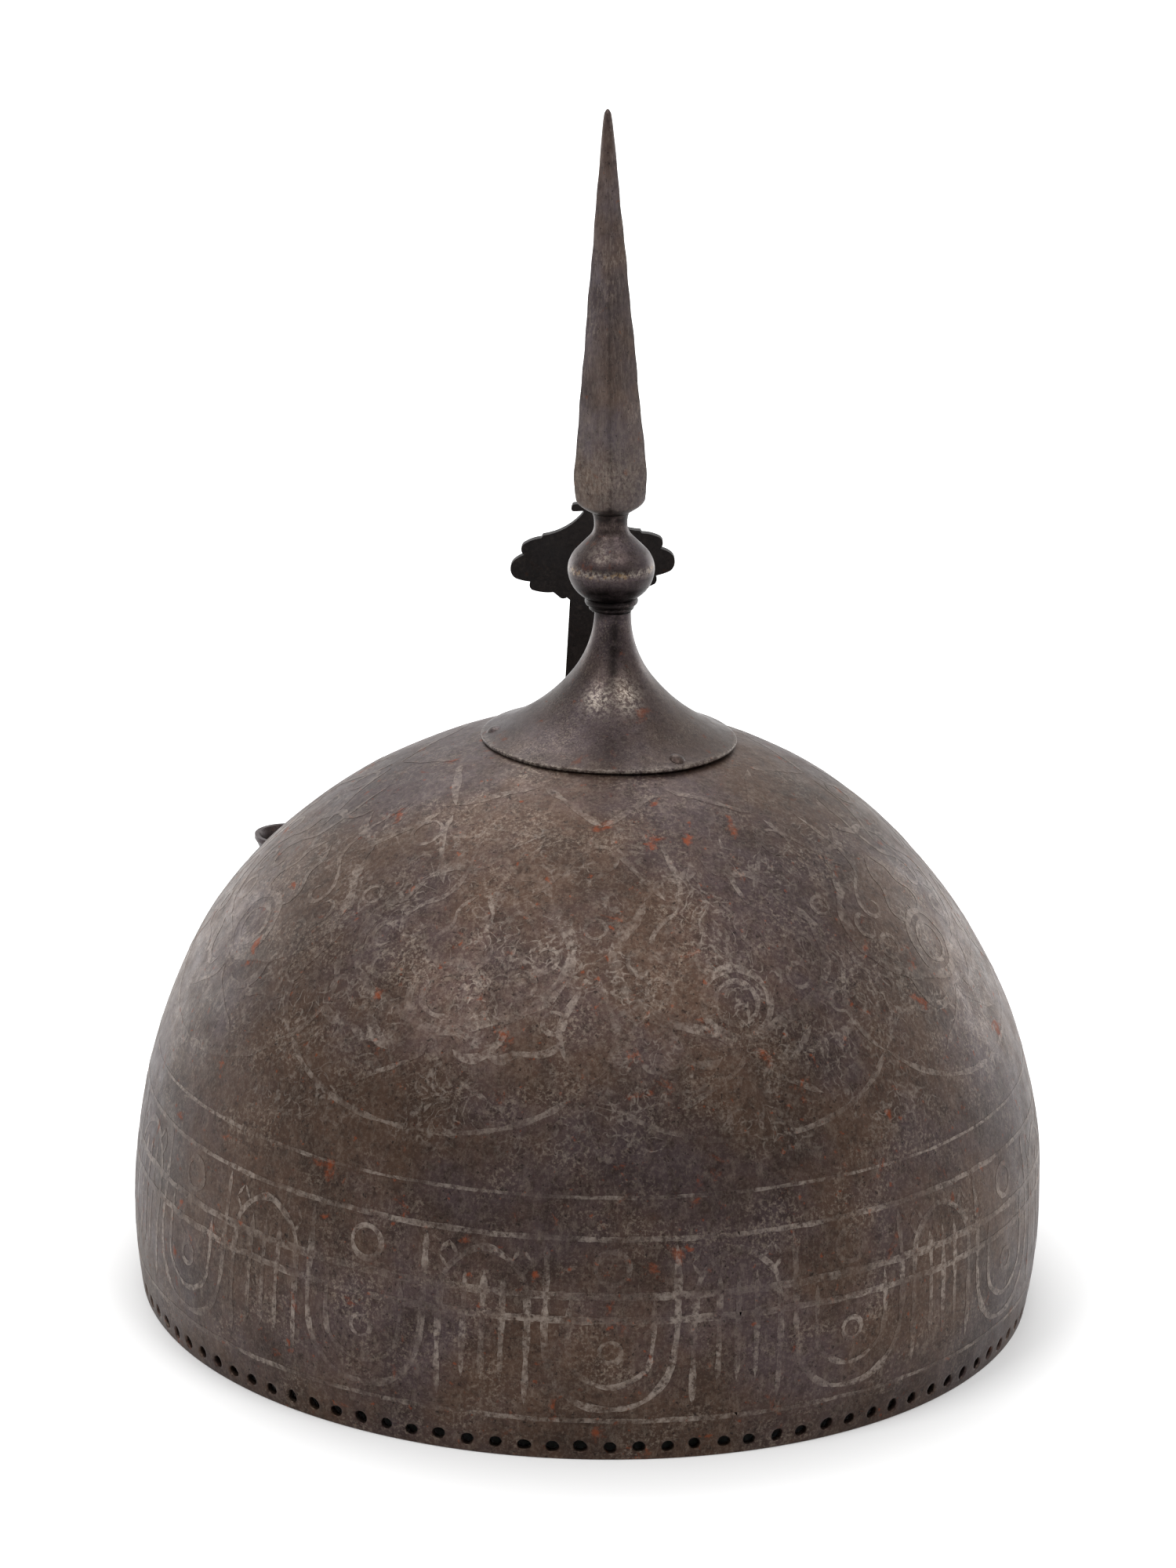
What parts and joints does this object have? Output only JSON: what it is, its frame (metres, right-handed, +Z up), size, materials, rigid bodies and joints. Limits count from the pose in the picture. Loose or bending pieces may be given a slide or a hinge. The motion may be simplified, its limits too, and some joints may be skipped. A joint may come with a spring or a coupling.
{
  "type": "helmet",
  "caption": "Round raised steel bowl helmet with a spiked finial, a sliding nasal bar held by a thumb screw, two plume holders and a pierced rim for mail.",
  "frame": {"origin": "centre of the plane on which the rim stands, on the bowl's axis", "axes": "+Z up along the bowl's axis to the crown, -Y towards the nasal bar at the front, +X towards the wearer's left"},
  "size_m": [0.2, 0.2197, 0.2586],
  "materials": {
    "bowl_steel": "aged raised sheet steel, brown patina, worn engraved lines",
    "spike_steel": "forged steel with dark scale, worn on its edges",
    "black_iron": "blackened wrought iron",
    "brazing_brass": "tarnished brazing brass"
  },
  "bodies": {
    "helmet": {"bowl": "bowl_steel", "finial_base": "bowl_steel", "finial_rivets": "bowl_steel", "finial_collar": "spike_steel", "knop_lower_cup": "spike_steel", "knop_upper_cup": "spike_steel", "knop_brazing": "brazing_brass", "spike": "spike_steel", "tang_washer": "spike_steel", "nasal_guide": "bowl_steel", "guide_rivets": "bowl_steel", "plume_tube_left": "bowl_steel", "plume_plate_left": "bowl_steel", "plume_rivets_left": "bowl_steel", "plume_tube_right": "bowl_steel", "plume_plate_right": "bowl_steel", "plume_rivets_right": "bowl_steel"},
    "nasal": {"nasal_bar": "black_iron"},
    "screw": {"clamp_screw": "black_iron"}
  },
  "joints": [
    {"name": "nasal_slide", "type": "slide", "parent": "helmet", "child": "nasal", "axis": [-0.0558, 0, -0.9984], "range_m": [0, 0.065]},
    {"name": "clamp_turn", "type": "hinge", "parent": "helmet", "child": "screw", "pos_m": [-0.0028, -0.11, 0.044], "axis": [0, -1, 0], "range_deg": [0, 450]}
  ]
}
